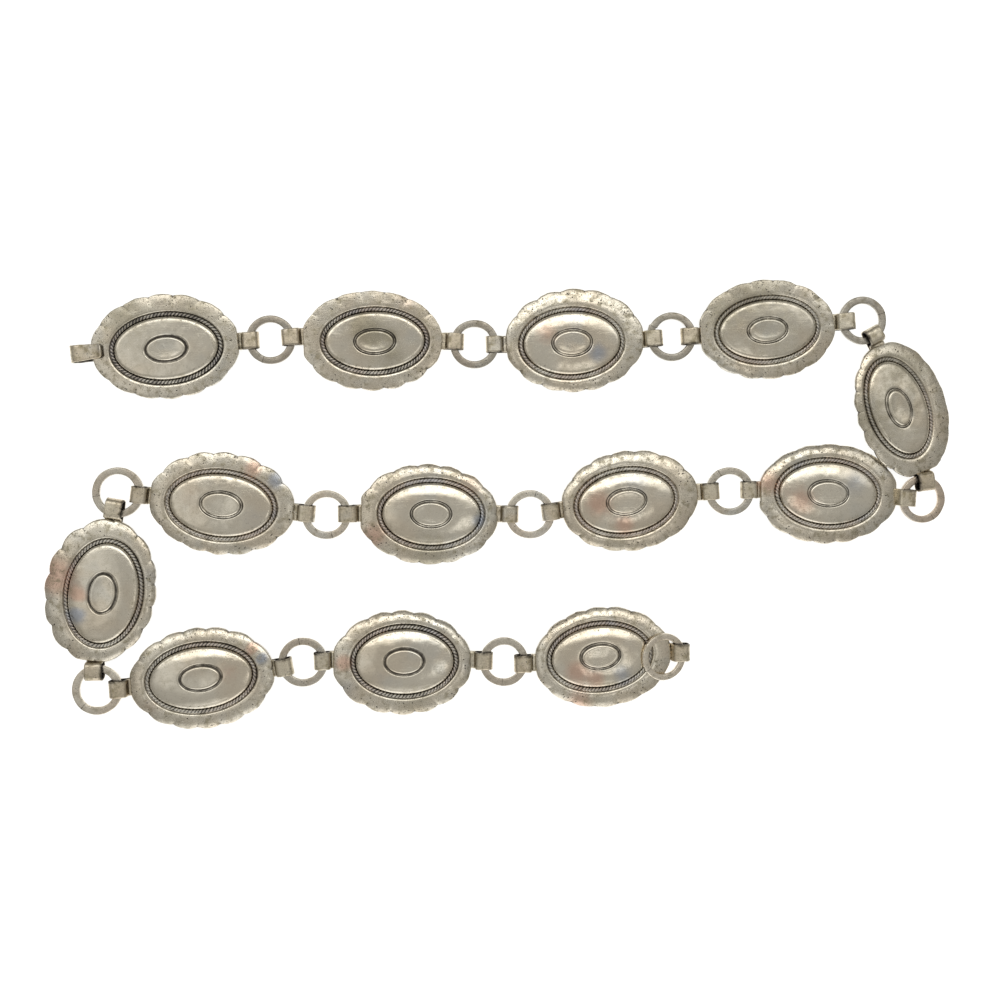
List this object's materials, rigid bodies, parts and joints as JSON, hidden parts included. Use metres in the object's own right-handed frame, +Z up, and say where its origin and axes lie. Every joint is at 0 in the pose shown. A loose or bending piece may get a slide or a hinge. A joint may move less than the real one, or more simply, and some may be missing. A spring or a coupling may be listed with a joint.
{
  "type": "concho belt",
  "caption": "Concho belt of stamped oval silver plates with scalloped rims and rope borders, linked by flat rings, with a folded hook and a loose end ring, laid out in an S",
  "frame": {"origin": "Middle of the laid-out belt's box in X and Y, on the surface that it lies on", "axes": "+X runs right along the three rows as pictured, +Y runs up the picture from the last row to the first, +Z is up out of the surface, toward the faces of the plates"},
  "size_m": [0.324, 0.1594, 0.0062],
  "materials": {
    "plates": "aged silver sheet, polished high spots, dark tarnish in the recesses",
    "rings": "aged flat silver strip, scratched and dull"
  },
  "bodies": {
    "root": {"concho_01": "plates", "concho_02": "plates", "concho_03": "plates", "concho_04": "plates", "concho_05": "plates", "concho_06": "plates", "concho_07": "plates", "concho_08": "plates", "concho_09": "plates", "concho_10": "plates", "concho_11": "plates", "concho_12": "plates", "concho_13": "plates", "ring_01": "rings", "ring_02": "rings", "ring_03": "rings", "ring_04": "rings", "ring_05": "rings", "ring_06": "rings", "ring_07": "rings", "ring_08": "rings", "ring_09": "rings", "ring_10": "rings", "ring_11": "rings", "ring_12": "rings", "end_ring": "rings"}
  },
  "joints": []
}
